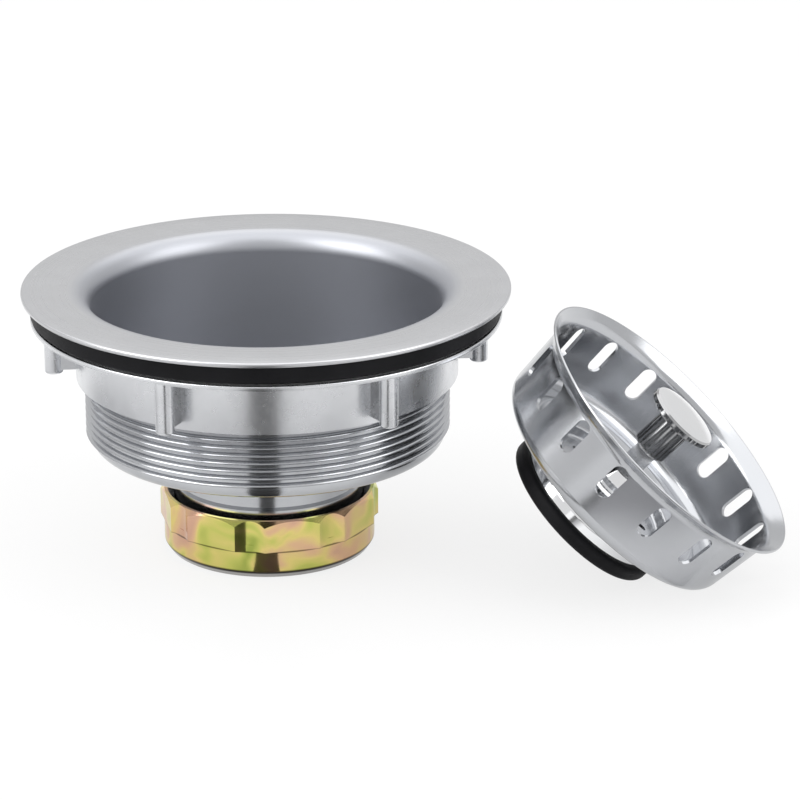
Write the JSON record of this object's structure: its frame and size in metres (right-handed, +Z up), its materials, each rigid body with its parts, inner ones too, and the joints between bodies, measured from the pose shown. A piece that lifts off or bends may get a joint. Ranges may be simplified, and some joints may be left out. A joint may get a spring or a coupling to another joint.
{
  "type": "basket strainer waste",
  "caption": "Sink waste with a flanged bowl, threaded barrel, lugged locknut and coupling nut, and a slotted basket with a knob and stopper lying beside it",
  "frame": {"origin": "on the axis of the waste, in the plane of the coupling nut's lower face that it stands on", "axes": "+Z up along the waste's axis, from the outlet to the flange; +X towards the basket; -Y towards the viewer"},
  "size_m": [0.1777, 0.1151, 0.064],
  "materials": {
    "strainer_body": "satin outside and in the bowl, polished roll",
    "rubber_gasket": "matt black rubber",
    "friction_washer": "grey fibre",
    "locknut": "raw die-cast zinc",
    "coupling_nut": "yellow passivated zinc plate",
    "tailpiece_washer": "black rubber",
    "strainer_basket": "polished stainless steel",
    "spring_clip": "bright spring steel",
    "knob_stem": "bright plated",
    "stopper_cap": "bright plated",
    "stopper_rubber": "matt black rubber",
    "stopper_washer": "plain",
    "stopper_screw": "plain"
  },
  "bodies": {
    "waste": {"strainer_body": "strainer_body", "knob_stem": "knob_stem", "stopper_cap": "stopper_cap", "stopper_rubber": "stopper_rubber", "stopper_washer": "stopper_washer", "stopper_screw": "stopper_screw"},
    "seal_rings": {"rubber_gasket": "rubber_gasket", "friction_washer": "friction_washer"},
    "locknut": {"locknut": "locknut"},
    "tail_washer": {"tailpiece_washer": "tailpiece_washer"},
    "coupling_nut": {"coupling_nut": "coupling_nut"},
    "basket": {"strainer_basket": "strainer_basket", "spring_clip": "spring_clip"}
  },
  "joints": [
    {"name": "ring_drop", "type": "slide", "parent": "waste", "child": "seal_rings", "axis": [0, 0, 1], "range_m": [-0.0127, 0]},
    {"name": "locknut_turn", "type": "hinge", "parent": "seal_rings", "child": "locknut", "pos_m": [0, 0, 0.05], "axis": [0, 0, 1], "range_deg": [-2520, 0]},
    {"name": "washer_rise", "type": "slide", "parent": "waste", "child": "tail_washer", "axis": [0, 0, 1], "range_m": [0, 0.0022]},
    {"name": "coupling_turn", "type": "hinge", "parent": "tail_washer", "child": "coupling_nut", "pos_m": [0, 0, 0.007], "axis": [0, 0, 1], "range_deg": [0, 360]},
    {"name": "basket_slide", "type": "slide", "parent": "waste", "child": "basket", "axis": [0.6755, -0.1106, 0.729], "range_m": [0, 0.0075]}
  ],
  "couplings": [
    {"joint": "ring_drop", "follows": "locknut_turn", "m_per_rad": 0.00028875},
    {"joint": "washer_rise", "follows": "coupling_turn", "m_per_rad": 0.00035014}
  ]
}
